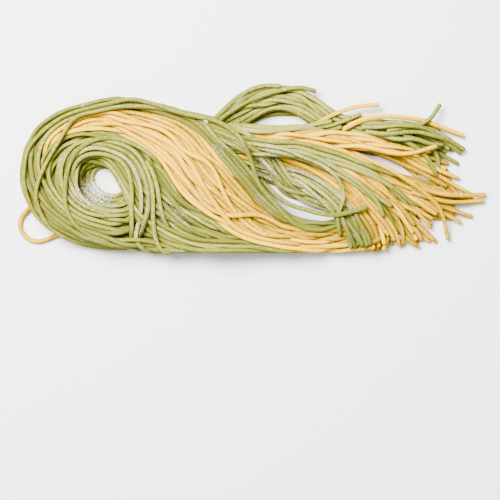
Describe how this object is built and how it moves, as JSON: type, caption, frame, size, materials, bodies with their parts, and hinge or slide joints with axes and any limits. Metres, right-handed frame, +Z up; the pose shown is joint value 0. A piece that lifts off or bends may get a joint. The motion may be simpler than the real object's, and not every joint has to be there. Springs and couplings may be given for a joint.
{
  "type": "fresh pasta nest",
  "caption": "Hank of fresh green and yellow spaghetti folded round an open eye, its strands sweeping across and fanning out into a brush of cut ends.",
  "frame": {"origin": "centre of the overall box on the surface that the nest lies on", "axes": "+X from the folded eye to the cut ends, +Y to the back edge, +Z up from the surface"},
  "size_m": [0.2362, 0.0834, 0.0146],
  "materials": {
    "egg_pasta": "matt, floury, slightly translucent",
    "spinach_pasta": "matt, floury, slightly translucent",
    "flour": "dry powder in small clumps"
  },
  "bodies": {
    "root": {"pasta_nest": "egg_pasta"}
  },
  "joints": []
}
